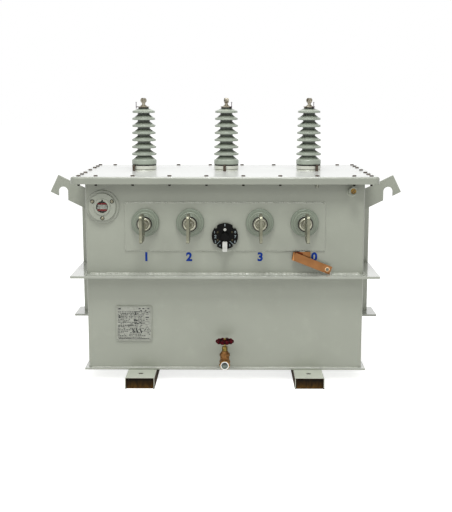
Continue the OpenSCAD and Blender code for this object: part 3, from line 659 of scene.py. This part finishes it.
# High-voltage terminals: cast nickel-plated eyes with flat caps, thin arcing rods on their rims, and
# plain brown studs that clamp the porcelain's foot down on the turret.
nickel = metal(
    "tarnished_nickel", screen(126, 119, 102), screen(182, 177, 162), 0.28, 160.0, screen(92, 82, 64),
)
dress(nickel, "hv_terminal_left", "hv_terminal_middle", "hv_terminal_right")
dark_rod = metal("dull_rod", screen(88, 80, 84), screen(118, 110, 114), 0.45, 160.0)
dress(dark_rod, "arcing_rods")
dark_stud = metal("browned_steel", screen(78, 68, 60), screen(108, 98, 88), 0.5, 200.0, screen(62, 48, 38))
dress(dark_stud, "hv_clamp_studs")
cap_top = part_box("arcing_rods")[0].z + 8 * mm
cap_nuts = bmesh.new()
collar = hexagon(17, 5, 1.2)
for x in hv_x:
    add(cap_nuts, collar, along((x, middle, cap_top), (0, 0, 1), dice.uniform(0, 1)))
finish_piece("hv_cap_nuts", cap_nuts, nickel)

# Low-voltage bushings: four stepped porcelains on a plate welded to the front wall, each with a black
# gasket, a bright cup washer and a nut on its stud, and an upright four-hole blade forged on the end.
lv_names = ("lv_bushing_1", "lv_bushing_2", "lv_bushing_3", "lv_bushing_4")
lv_x = [centre(name).x for name in lv_names]
lv_z = centre("lv_bushing_1").z
lv_nose_r, lv_rim_r = 26 * mm, 47 * mm
# The low-voltage glaze is painted darker at the nose and at the outer rim, painted shade round the rim.
lv_shaded_tones = screen(113, 121, 107), screen(132, 140, 125), screen(116, 125, 111)
washer_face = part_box("lv_gaskets")[0].y - 5 * mm
nut_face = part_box("lv_nuts")[0].y
thread_root, thread_crest, thread_pitch = 11.4, 12.4, 1.1

for name, x in zip(lv_names, lv_x):
    level_axis = (x, 0, lv_z), (1, 0, 1)
    dress(glaze(name + "_glaze", level_axis, lv_nose_r, lv_rim_r, *lv_shaded_tones, 0.34), name)
tin = metal(
    "tinned_copper", screen(114, 114, 99), screen(134, 134, 117), 0.4, 50.0, screen(108, 107, 91),
    edge=2 * mm,
)
dress(tin, "lv_blade_1", "lv_blade_2", "lv_blade_3", "lv_blade_4")
plated = metal(
    "plated_nut", screen(132, 130, 116), screen(160, 158, 144), 0.3, 30.0, grain=0.15, edge=1.2 * mm,
)
dress(plated, "lv_nuts")
bright = metal("bright_washer", screen(148, 148, 132), screen(172, 172, 156), 0.26, 25.0, grain=0.08)
dull_thread = metal("dull_thread", screen(118, 117, 104), screen(150, 149, 134), 0.42, 160.0)
cup = turned(
    48, (14, -4), (14, 0), (14.6, 1.6), (16, 2.6), (17.8, 2.6), (19.6, 1.4), (20.7, -1), (21, -5),
)
turns = [(thread_crest if i % 2 else thread_root, 1 + i * thread_pitch) for i in range(12)]
thread = turned(24, (9.5, 0), *turns, (9.5, 14))
cup_washers = bmesh.new()
stud_threads = bmesh.new()
for x in lv_x:
    add(cup_washers, cup, along((x, washer_face, lv_z), (0, -1, 0)))
    add(stud_threads, thread, along((x, nut_face, lv_z), (0, -1, 0)))
finish_piece("lv_cup_washers", cup_washers, bright)
finish_piece("lv_stud_threads", stud_threads, dull_thread)

# Phase marks: plain numerals in dark blue, sprayed on the wall through a stencil under each bushing.
# They are one coat thick and follow the wall's own orange peel.
numeral_height, numeral_z = 31 * mm, 434 * mm
coat_height = 0.2 * mm
draft_height = 0.02
blue, tree, shader, where = moulding(
    "stencil_blue", screen(0, 44, 128), screen(4, 56, 146), 90.0, 5.0, 0.2,
)
shader.inputs["Roughness"].default_value = 0.5
relief(tree, shader, cloud(tree, where, 210.0, 2.0), 0.6 * mm, 0.15)


def figures(text, height, bold):
    """Flat figures of a given height, facing the front and centred on the origin."""
    curve = bpy.data.curves.new("figures", "FONT")
    curve.body = text
    curve.offset = bold
    curve.extrude = draft_height
    holder = bpy.data.objects.new("figures", curve)
    scene.collection.objects.link(holder)
    ready = holder.evaluated_get(bpy.context.evaluated_depsgraph_get())
    flat = bpy.data.meshes.new_from_object(ready)
    shape = bmesh.new()
    shape.from_mesh(flat)
    bpy.data.objects.remove(holder)
    bpy.data.curves.remove(curve)
    bpy.data.meshes.remove(flat)
    low = Vector([min(v.co[i] for v in shape.verts) for i in range(3)])
    high = Vector([max(v.co[i] for v in shape.verts) for i in range(3)])
    size = height / (high.y - low.y)
    bmesh.ops.translate(shape, verts=shape.verts[:], vec=-(low + high) / 2)
    bmesh.ops.scale(shape, verts=shape.verts[:], vec=(size, size, coat_height / draft_height))
    bmesh.ops.rotate(shape, verts=shape.verts[:], matrix=Matrix.Rotation(math.pi / 2, 3, "X"))
    return shape


phase_marks = bmesh.new()
for text, x in (("1", -267.4), ("2", -121.7), ("3", 119.7), ("0", 303.5)):
    spot = (x * mm, front - coat_height, numeral_z)
    add(phase_marks, figures(text, numeral_height, 0.045), Matrix.Translation(spot))
finish_piece("phase_numerals", phase_marks, blue)

# Tap changer: a moulded black dial with four rim notches and pale figures for eight positions.
# The black hub turns on its shaft and carries a white pointer sleeve.
dial_z = centre("tap_dial").z
dial_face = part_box("tap_dial")[0].y
screw_x, screw_z = (-23.5, 24.5), (-13.8, 13.2)
bakelite, tree, shader, where = moulding(
    "black_moulding", screen(4, 4, 4), screen(13, 13, 12), 120.0, 4.0, 0.08,
)
tree.links.new(patches(tree, where, 60.0, grey(0.3), grey(0.5)), shader.inputs["Roughness"])
relief(tree, shader, cloud(tree, where, 600.0), 0.4 * mm, 0.15, 0.8 * mm)
dress(bakelite, "tap_dial", "tap_hub")
ivory, tree, shader, where = moulding(
    "white_moulding", screen(186, 187, 181), screen(206, 207, 202), 80.0, 5.0,
)
shader.inputs["Roughness"].default_value = 0.35
relief(tree, shader, cloud(tree, where, 500.0), 0.4 * mm, 0.1, 1 * mm)
dress(ivory, "tap_handle")

dial_marks = bmesh.new()
for text, x, z, height in (
    ("1", -35, 13.6, 8), ("2", -32, -1.5, 11), ("3", -32, -18.7, 8), ("4", -17, -31.5, 7),
    ("5", 16.5, -30.8, 7), ("6", 33.8, -18.7, 8), ("7", 35, -2, 10), ("8", 35, 14, 8),
):
    spot = (x * mm, dial_face - coat_height, dial_z + z * mm)
    add(dial_marks, figures(text, height * mm, 0.02), Matrix.Translation(spot))
for degrees, stroke_r, length in ((225, 30.4, 16), (315, 32, 16), (90, 37.5, 8)):
    on_dial = Matrix.Translation((0, dial_face - 0.1 * mm, dial_z))
    outward = Matrix.Rotation(-math.radians(degrees), 4, "Y") @ Matrix.Translation((stroke_r * mm, 0, 0))
    add(dial_marks, slab(length, 0.4, 2.2), on_dial @ outward)
faded = metal(
    "faded_marks", screen(96, 112, 114), screen(160, 172, 174), 0.5, 90.0, grain=0.1, metallic=0.0,
)
finish_piece("tap_dial_marks", dial_marks, faded)
dial_dot = bmesh.new()
dot = turned(24, (0, 0), (5, 0), (5, 0.3), (0, 0.3))
add(dial_dot, dot, along((0, dial_face, dial_z + 22 * mm), (0, -1, 0)))
finish_piece("tap_dial_dot", dial_dot, ivory)
dial_screws = bmesh.new()
small_pan = turned(16, (0, 2), (2.2, 1.8), (3.6, 1), (4.1, 0), (0, 0))
for x in screw_x:
    for z in screw_z:
        add(dial_screws, small_pan, along((x * mm, dial_face, dial_z + z * mm), (0, -1, 0)))
dark_screw = metal("dark_screw", screen(50, 47, 37), screen(74, 70, 56), 0.5, 200.0)
finish_piece("tap_dial_screws", dial_screws, dark_screw)

# Oil gauge: a screwed cast ring round a small window, with a float band between two red lines behind
# the glass, three slotted screws and an engraved pointer at the top.
float_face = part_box("gauge_dial")[0].y - 0.8 * mm
bezel_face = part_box("gauge_bezel")[0].y
ring_face = bezel_face + 4 * mm
line_rise = 10.8 * mm
gauge_screw_r = 38 * mm
arrow_rise, arrow_lean = 21 * mm, 0.45
dark_back = metal(
    "gauge_back", screen(16, 15, 14), screen(30, 28, 27), 0.6, 120.0, grain=0.2, metallic=0.0,
)
dress(dark_back, "gauge_dial")
pane, tree, shader, where = new_finish("gauge_pane")
shader.inputs["Base Color"].default_value = (0.05, 0.06, 0.055, 1)
shader.inputs["Alpha"].default_value = 0.08
shader.inputs["Specular IOR Level"].default_value = 0.3
tree.links.new(patches(tree, where, 150.0, grey(0.0), grey(0.02)), shader.inputs["Roughness"])
dress(pane, "gauge_glass")

float_band = bmesh.new()
add(float_band, slab(35, 1.4, 16, 0.6), Matrix.Translation((gauge.x, float_face, gauge.z)))
float_grey = metal(
    "float_grey", screen(158, 162, 153), screen(166, 170, 161), 0.45, 60.0, grain=0.03, metallic=0.0,
)
finish_piece("gauge_float", float_band, float_grey)
red_lines = bmesh.new()
for rise in (-line_rise, line_rise):
    add(red_lines, slab(33, 1.2, 5.4), Matrix.Translation((gauge.x, float_face, gauge.z + rise)))
gauge_red = metal("gauge_red", screen(122, 0, 8), screen(136, 2, 10), 0.5, 60.0, grain=0.03, metallic=0.0)
finish_piece("gauge_red_lines", red_lines, gauge_red)

gauge_screws = bmesh.new()
gauge_slots = bmesh.new()
pan = turned(20, (0, 3.2), (2.2, 2.9), (4.2, 1.8), (5.6, 0), (0, 0))
# Each screw sits in a dark ring, a painted shadow round its head.
seat_shadow = turned(24, (5, 0.3), (6.9, 0.3), (7.1, 0))
for degrees in (30, 150, 270):
    angle = math.radians(degrees)
    round_ring = Vector((math.cos(angle), 0, math.sin(angle))) * gauge_screw_r
    spot = Vector((gauge.x, ring_face, gauge.z)) + round_ring
    slot_place = Matrix.Translation(spot - Vector((0, 2.6 * mm, 0)))
    add(gauge_screws, pan, along(spot, (0, -1, 0)))
    add(gauge_slots, slab(8, 1, 1.1), slot_place @ Matrix.Rotation(dice.uniform(0, 3), 4, "Y"))
    add(gauge_slots, seat_shadow, along(spot, (0, -1, 0)))
finish_piece("gauge_screw_slots", gauge_slots, bakelite)
olive_screw = metal("olive_screw", screen(112, 108, 90), screen(150, 146, 128), 0.35, 200.0, grain=0.2)
finish_piece("gauge_screws", gauge_screws, olive_screw)
gauge_arrow = bmesh.new()
arrow = slab(5, 0.6, 8)
for v in arrow.verts:
    v.co.x += v.co.z * arrow_lean
arrow_spot = (gauge.x + 0.3 * mm, bezel_face - 0.1 * mm, gauge.z + arrow_rise)
add(gauge_arrow, arrow, Matrix.Translation(arrow_spot))
finish_piece("gauge_arrow", gauge_arrow, bakelite)

# Filler: a tilted pipe stub welded high on the right of the wall, shut by a brass plug with a square head.
# A short piece of dark sealing wire lies across the head.
filler_root = Vector((centre("filler_plug").x, front, 0.654))
filler_tilt = math.radians(9.5)
filler_length, head_height = 50 * mm, 11.2 * mm
mouth_depth = 44 * mm
seal_turn = math.radians(50)
old_brass = metal(
    "old_brass", screen(104, 84, 42), screen(138, 111, 60), 0.38, 110.0, screen(78, 62, 34), edge=0.8 * mm,
)
dress(old_brass, "filler_plug")
# The pipes wear a lighter copy of the wall enamel, painted light on sides the lid leaves in shade, and the
# outer end is painted darker as painted shade under the lid.
lightened_pipe_paint = enamel("enamel_on_pipe", screen(172, 176, 163), screen(178, 182, 169), gloss=0.1, flat=0.45)
tree, shader, where, coat = reopened(lightened_pipe_paint)
shaded_mouth = maths(tree, "LESS_THAN", axes(tree, where)["Y"], front - mouth_depth)
tree.links.new(over(tree, shaded_mouth, coat, screen(127, 131, 120)), shader.inputs["Base Color"])
dress(lightened_pipe_paint, "filler_neck", "drain_pipe")
filler_weld = bmesh.new()
ring_bead(filler_weld, filler_root, (0, -1, 0), 13 * mm, 3 * mm)
finish_piece("filler_weld", filler_weld, lightened_pipe_paint)
filler_seal = bmesh.new()
wire = bmesh.new()
bmesh.ops.create_cone(
    wire, cap_ends=True, segments=10, radius1=1.2 * mm, radius2=1.2 * mm, depth=14 * mm,
    matrix=Matrix.Rotation(math.pi / 2, 4, "Y"),
)
out_way = Vector((0, -math.cos(filler_tilt), math.sin(filler_tilt)))
add(filler_seal, wire, along(filler_root + out_way * (filler_length + head_height), out_way, seal_turn))
finish_piece("filler_seal", filler_seal, dark_stud)

# Rating plate: a bare etched aluminium plate on a welded backing, held by four drive rivets.
# Its fields hold only rules, boxes and plain bars of ink.
label = centre("rating_plate")
label_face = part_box("rating_plate")[0].y
rivet_at = 54.5
hairline = 0.6
row_top, row_pitch, row_stroke = 42, 5.25, 2.3
row_left, row_right, dense_right = -54.0, 52, 28
etched = metal(
    "etched_aluminium", screen(130, 132, 124), screen(143, 145, 137), 0.45, 130.0, grain=0.2, edge=0.8 * mm,
)
dress(etched, "rating_plate")
ink = metal("etched_ink", screen(6, 9, 9), screen(22, 26, 25), 0.6, 300.0, grain=0.1, metallic=0.0)
ruled = bmesh.new()


def rule(x, z, width, height):
    """One inked stroke on the rating plate, placed from the plate's middle in millimetres."""
    spot = (label.x + x * mm, label_face - 0.05 * mm, label.z + z * mm)
    add(ruled, slab(width, 0.2, height), Matrix.Translation(spot))


for x, z, width, height in (
    (-50, 53, 11, 4.6), (20, 53.5, 7, 3.6), (33, 53.5, 7, 3.6), (50, 53.5, 6, 3.6), (25, 47, 6, 3),
    (41, 46.5, 5, 3.6), (46, 40, 5, 4), (46, 34, 10, 1.6), (46, 23, 12, 3.6), (6, 41, 5, 4), (6, 34, 5, 4),
    (7, 12.7, 13, 3.6), (34, 12.7, 6, 2.6), (-32, 6, 13, 3), (-12, -4.4, 20, 3), (19, 2.6, 37, 2),
    (-49, 29, 5, 3), (-48, 23, 5, 3),
):
    rule(x, z, width, height)
for x, z, width, height in ((-33, 26, 17, 19), (45, 2.6, 14, 10), (-24, -28, 62, 40), (18, 26, 34, 36)):
    for sign in (-1, 1):
        rule(x + sign * width / 2, z, hairline, height)
        rule(x, z + sign * height / 2, width, hairline)
for row in range(19):
    x = row_left
    while x < row_right:
        width = dice.uniform(2, 7)
        if dice.random() < (0.75 if x < dense_right else 0.3):
            rule(x + width / 2, row_top - row * row_pitch, width, row_stroke)
        x += width + dice.uniform(1, 3)
for x in (-2, 10, 23):
    for lean in range(6):
        rule(x - 2.5 + lean, -17 - lean * 2.4, 2.6 + lean * 0.4, 2.6)
for step in range(12):
    for sign in (-1, 1):
        rule(46 + sign * step, -10 - step * 1.4, 1.2, 1.6)
rule(46, -26.5, 23, 0.8)
rule(0, -53, 104, 2)
finish_piece("rating_rules", ruled, ink)
rivets = bmesh.new()
dome = turned(14, (0, 1.6), (1.6, 1.2), (2.6, 0), (0, 0))
for x in (-rivet_at, rivet_at):
    for z in (-rivet_at, rivet_at):
        add(rivets, dome, along((label.x + x * mm, label_face, label.z + z * mm), (0, -1, 0)))
finish_piece("rating_rivets", rivets, etched)

# Drain valve: a cast bronze gate valve on a welded pipe stub, with a brass packing nut, a dark red
# lobed handwheel held by a brass nut on its stem, and a galvanised plug in the outlet.
wheel_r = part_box("handwheel")[1].x
valve_y = centre("handwheel").y
wheel_lobes = 10
wheel_top, stem_foot = 161 * mm, 137.5 * mm
socket_r = 11.4 * mm
socket_height = 20 * mm
outlet_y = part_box("drain_plug")[1].y + 1 * mm
brass = metal(
    "plumbing_brass", screen(106, 90, 44), screen(140, 120, 66), 0.42, 110.0, screen(82, 66, 30),
    edge=0.8 * mm,
)
dress(brass, "valve_bonnet")
bronze = metal(
    "cast_bronze", screen(108, 76, 45), screen(140, 102, 62), 0.5, 120.0, screen(82, 55, 30), grain=0.6,
    edge=1.2 * mm,
)
dress(bronze, "valve_body")


def wheel_coat():
    """Dark red paint on the handwheel, painted near black in its web and in the notches between lobes as
    painted shade.
    """
    finish, tree, shader, where = new_finish("wheel_red")
    coat = patches(tree, where, 160.0, screen(30, 0, 5), screen(88, 3, 17), 5.0)
    share = maths(tree, "DIVIDE", from_axis(tree, where, (0, valve_y, 0), (1, 1, 0)), wheel_r)
    web = tones(tree, share, (0.24, grey(0)), (0.34, grey(0.85)), (0.6, grey(0.85)), (0.72, grey(0)))
    centred = tree.nodes.new("ShaderNodeMapping")
    centred.inputs["Location"].default_value = (0, -valve_y, 0)
    tree.links.new(where, centred.inputs["Vector"])
    bearing = tree.nodes.new("ShaderNodeTexGradient")
    bearing.gradient_type = "RADIAL"
    tree.links.new(centred.outputs["Vector"], bearing.inputs["Vector"])
    lobes = maths(tree, "MULTIPLY", bearing.outputs["Fac"], wheel_lobes * math.tau)
    crests = maths(tree, "ADD", maths(tree, "COSINE", lobes), 1.0)
    notch = tones(tree, crests, (0.25, grey(0.85)), (0.9, grey(0)))
    web_and_notch_shade = maths(tree, "MAXIMUM", web, notch)
    tree.links.new(over(tree, web_and_notch_shade, coat, screen(10, 0, 2)), shader.inputs["Base Color"])
    tree.links.new(patches(tree, where, 90.0, grey(0.4), grey(0.6)), shader.inputs["Roughness"])
    shader.inputs["Specular IOR Level"].default_value = 0.06
    relief(tree, shader, cloud(tree, where, 400.0, 3.0), 0.8 * mm, 0.3)
    return finish


def galvanised_plug():
    """Bright zinc on the plug's rim, and a duller socket painted darker towards its top as painted shade."""
    finish, tree, shader, where = new_finish("galvanised_plug")
    skin = patches(tree, where, 120.0, screen(206, 209, 208), screen(232, 234, 233), 4.0, (0.32, 0.68))
    above = maths(tree, "SUBTRACT", axes(tree, where)["Z"], drain.z - socket_height / 2)
    rise = maths(tree, "DIVIDE", above, socket_height)
    shaded_lining = tones(
        tree, rise, (0.3, screen(112, 120, 112)), (0.55, screen(84, 91, 86)), (0.8, screen(24, 27, 27)),
    )
    from_middle = from_axis(tree, where, (0, 0, drain.z), (1, 0, 1))
    socket = maths(tree, "LESS_THAN", from_middle, socket_r)
    tree.links.new(over(tree, socket, skin, shaded_lining), shader.inputs["Base Color"])
    shader.inputs["Metallic"].default_value = 0.6
    shader.inputs["Roughness"].default_value = 0.32
    relief(tree, shader, cloud(tree, where, 900.0, 2.0), 0.3 * mm, 0.2)
    return finish


dress(wheel_coat(), "handwheel")
dress(galvanised_plug(), "drain_plug")
stem = bmesh.new()
stem_nut = hexagon(8, 3.5, 0.8)
stem_tip = turned(16, (0, 5), (2, 4.6), (2.5, 4), (2.5, 0), (0, 0))
stem_sleeve = turned(20, (3.7, 0), (3.7, 11))
add(stem, stem_nut, along((0, valve_y, wheel_top), (0, 0, 1), 0.3))
add(stem, stem_tip, along((0, valve_y, wheel_top), (0, 0, 1)))
add(stem, stem_sleeve, along((0, valve_y, stem_foot), (0, 0, 1)))
finish_piece("wheel_nut", stem, brass, "handwheel")
outlet_lip = bmesh.new()
lip = turned(40, (13.6, 0), (16.2, 0), (16.6, 1.5), (15.8, 3), (13.6, 3))
add(outlet_lip, lip, along((0, outlet_y, drain.z), (0, -1, 0)))
worn_bronze = metal("worn_bronze", screen(128, 92, 44), screen(158, 118, 64), 0.34, 160.0)
finish_piece("valve_outlet_lip", outlet_lip, worn_bronze)

# Earth strap: a strip of bare copper folded back on itself, bolted to a welded boss under the last bushing.
# The inside of the fold is painted dark red as painted shade, the bend carries a painted highlight, and the
# free end has a bolt hole ringed by a bright copper rim that is a painted highlight.
strap_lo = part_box("earth_strap")[0]
strap_fall = math.tan(math.radians(21.5))
fold_x, fold_top = 234 * mm, 452.5 * mm
shade_height, shade_length = 7 * mm, 30 * mm
front_leaf = 3 * mm
glint_width = 8 * mm


def folded_copper():
    """Bare copper, with a painted highlight round the bend and painted shade, dark red, inside the fold."""
    finish = metal(
        "bare_copper", screen(122, 84, 52), screen(140, 98, 62), 0.36, 22.0, grain=0.2, edge=0.6 * mm,
    )
    tree, shader, where, plain = reopened(finish)
    place = axes(tree, where)
    fall = maths(tree, "MULTIPLY", maths(tree, "SUBTRACT", place["X"], fold_x), strap_fall)
    above = maths(tree, "ADD", maths(tree, "SUBTRACT", place["Z"], fold_top), fall)
    shaded = maths(tree, "LESS_THAN", above, shade_height)
    behind = maths(tree, "GREATER_THAN", place["Y"], strap_lo.y + front_leaf)
    shaded = maths(tree, "MULTIPLY", shaded, behind)
    shaded = maths(tree, "MULTIPLY", shaded, maths(tree, "LESS_THAN", place["X"], fold_x + shade_length))
    glint = maths(tree, "LESS_THAN", place["X"], strap_lo.x + glint_width)
    highlighted = over(tree, glint, plain, screen(172, 122, 78))
    tree.links.new(over(tree, shaded, highlighted, screen(96, 42, 24)), shader.inputs["Base Color"])
    return finish


dress(folded_copper(), "earth_strap")
zinc = metal(
    "galvanised", screen(150, 154, 152), screen(200, 204, 202), 0.36, 120.0, screen(130, 134, 130),
    edge=1 * mm,
)
dress(zinc, "earth_boss")
strap_mount = next(m for m in frame["record"]["mounts"] if m["name"] == "earth_strap_hole")
hole = Vector(strap_mount["pos_m"])
hole.y = strap_lo.y
# A bright copper ring round the hole, a painted highlight on its rim.
hole_rim = bmesh.new()
eyelet = turned(32, (5.9, -2), (5.9, 0.2), (6.6, 0.4), (7.6, 0.1), (7.8, 0))
add(hole_rim, eyelet, along(hole, (0, -1, 0)))
rim_highlight = metal("burnished_copper", screen(206, 164, 122), screen(228, 190, 150), 0.25, 200.0, grain=0.1)
finish_piece("strap_hole_rim", hole_rim, rim_highlight)
